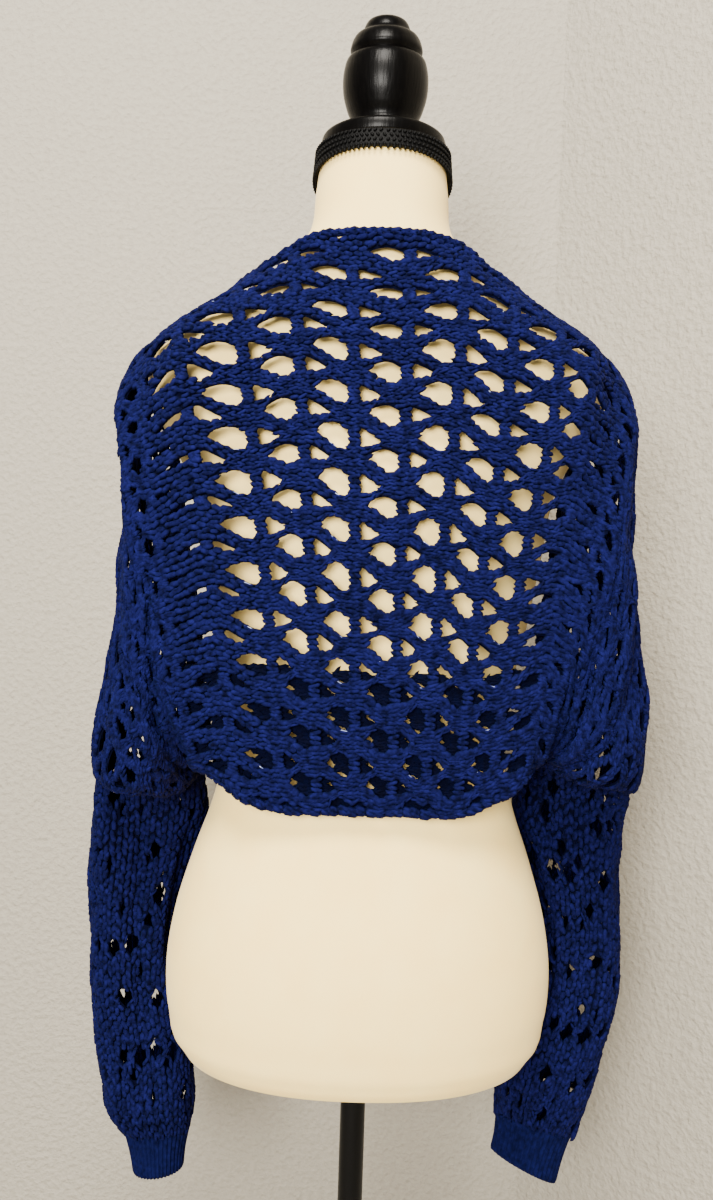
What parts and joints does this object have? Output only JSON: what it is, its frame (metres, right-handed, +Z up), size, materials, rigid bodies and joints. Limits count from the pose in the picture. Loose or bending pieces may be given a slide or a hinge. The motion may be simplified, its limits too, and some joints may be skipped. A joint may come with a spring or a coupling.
{
  "type": "open-knit shrug worn on a limbless dress form",
  "caption": "Blue open-knit shrug with long ribbed-cuff sleeves and a turned-up hem, worn on a cream limbless dress form with a black turned finial, pole and round base.",
  "frame": {"origin": "middle of the base's underside, on the floor, on the pole's axis", "axes": "+Z up, -Y toward the front of the form, so the back that the picture shows faces +Y, +X toward the wearer's left"},
  "size_m": [0.4911, 0.3, 1.4166],
  "materials": {
    "yarn_blue": "matte",
    "jersey_cream": "matte",
    "wood_black": "satin",
    "braid_black": "matte",
    "metal_black": "satin"
  },
  "bodies": {
    "root": {"body_panel": "yarn_blue", "hem_turn_up": "yarn_blue", "sleeve_left_back": "yarn_blue", "sleeve_left_front": "yarn_blue", "sleeve_right_back": "yarn_blue", "sleeve_right_front": "yarn_blue", "cuff_left": "yarn_blue", "cuff_right": "yarn_blue", "torso": "jersey_cream", "neck_trim": "braid_black", "neck_cap": "wood_black", "finial": "wood_black", "pole": "metal_black", "collar": "metal_black", "base": "metal_black"}
  },
  "joints": []
}
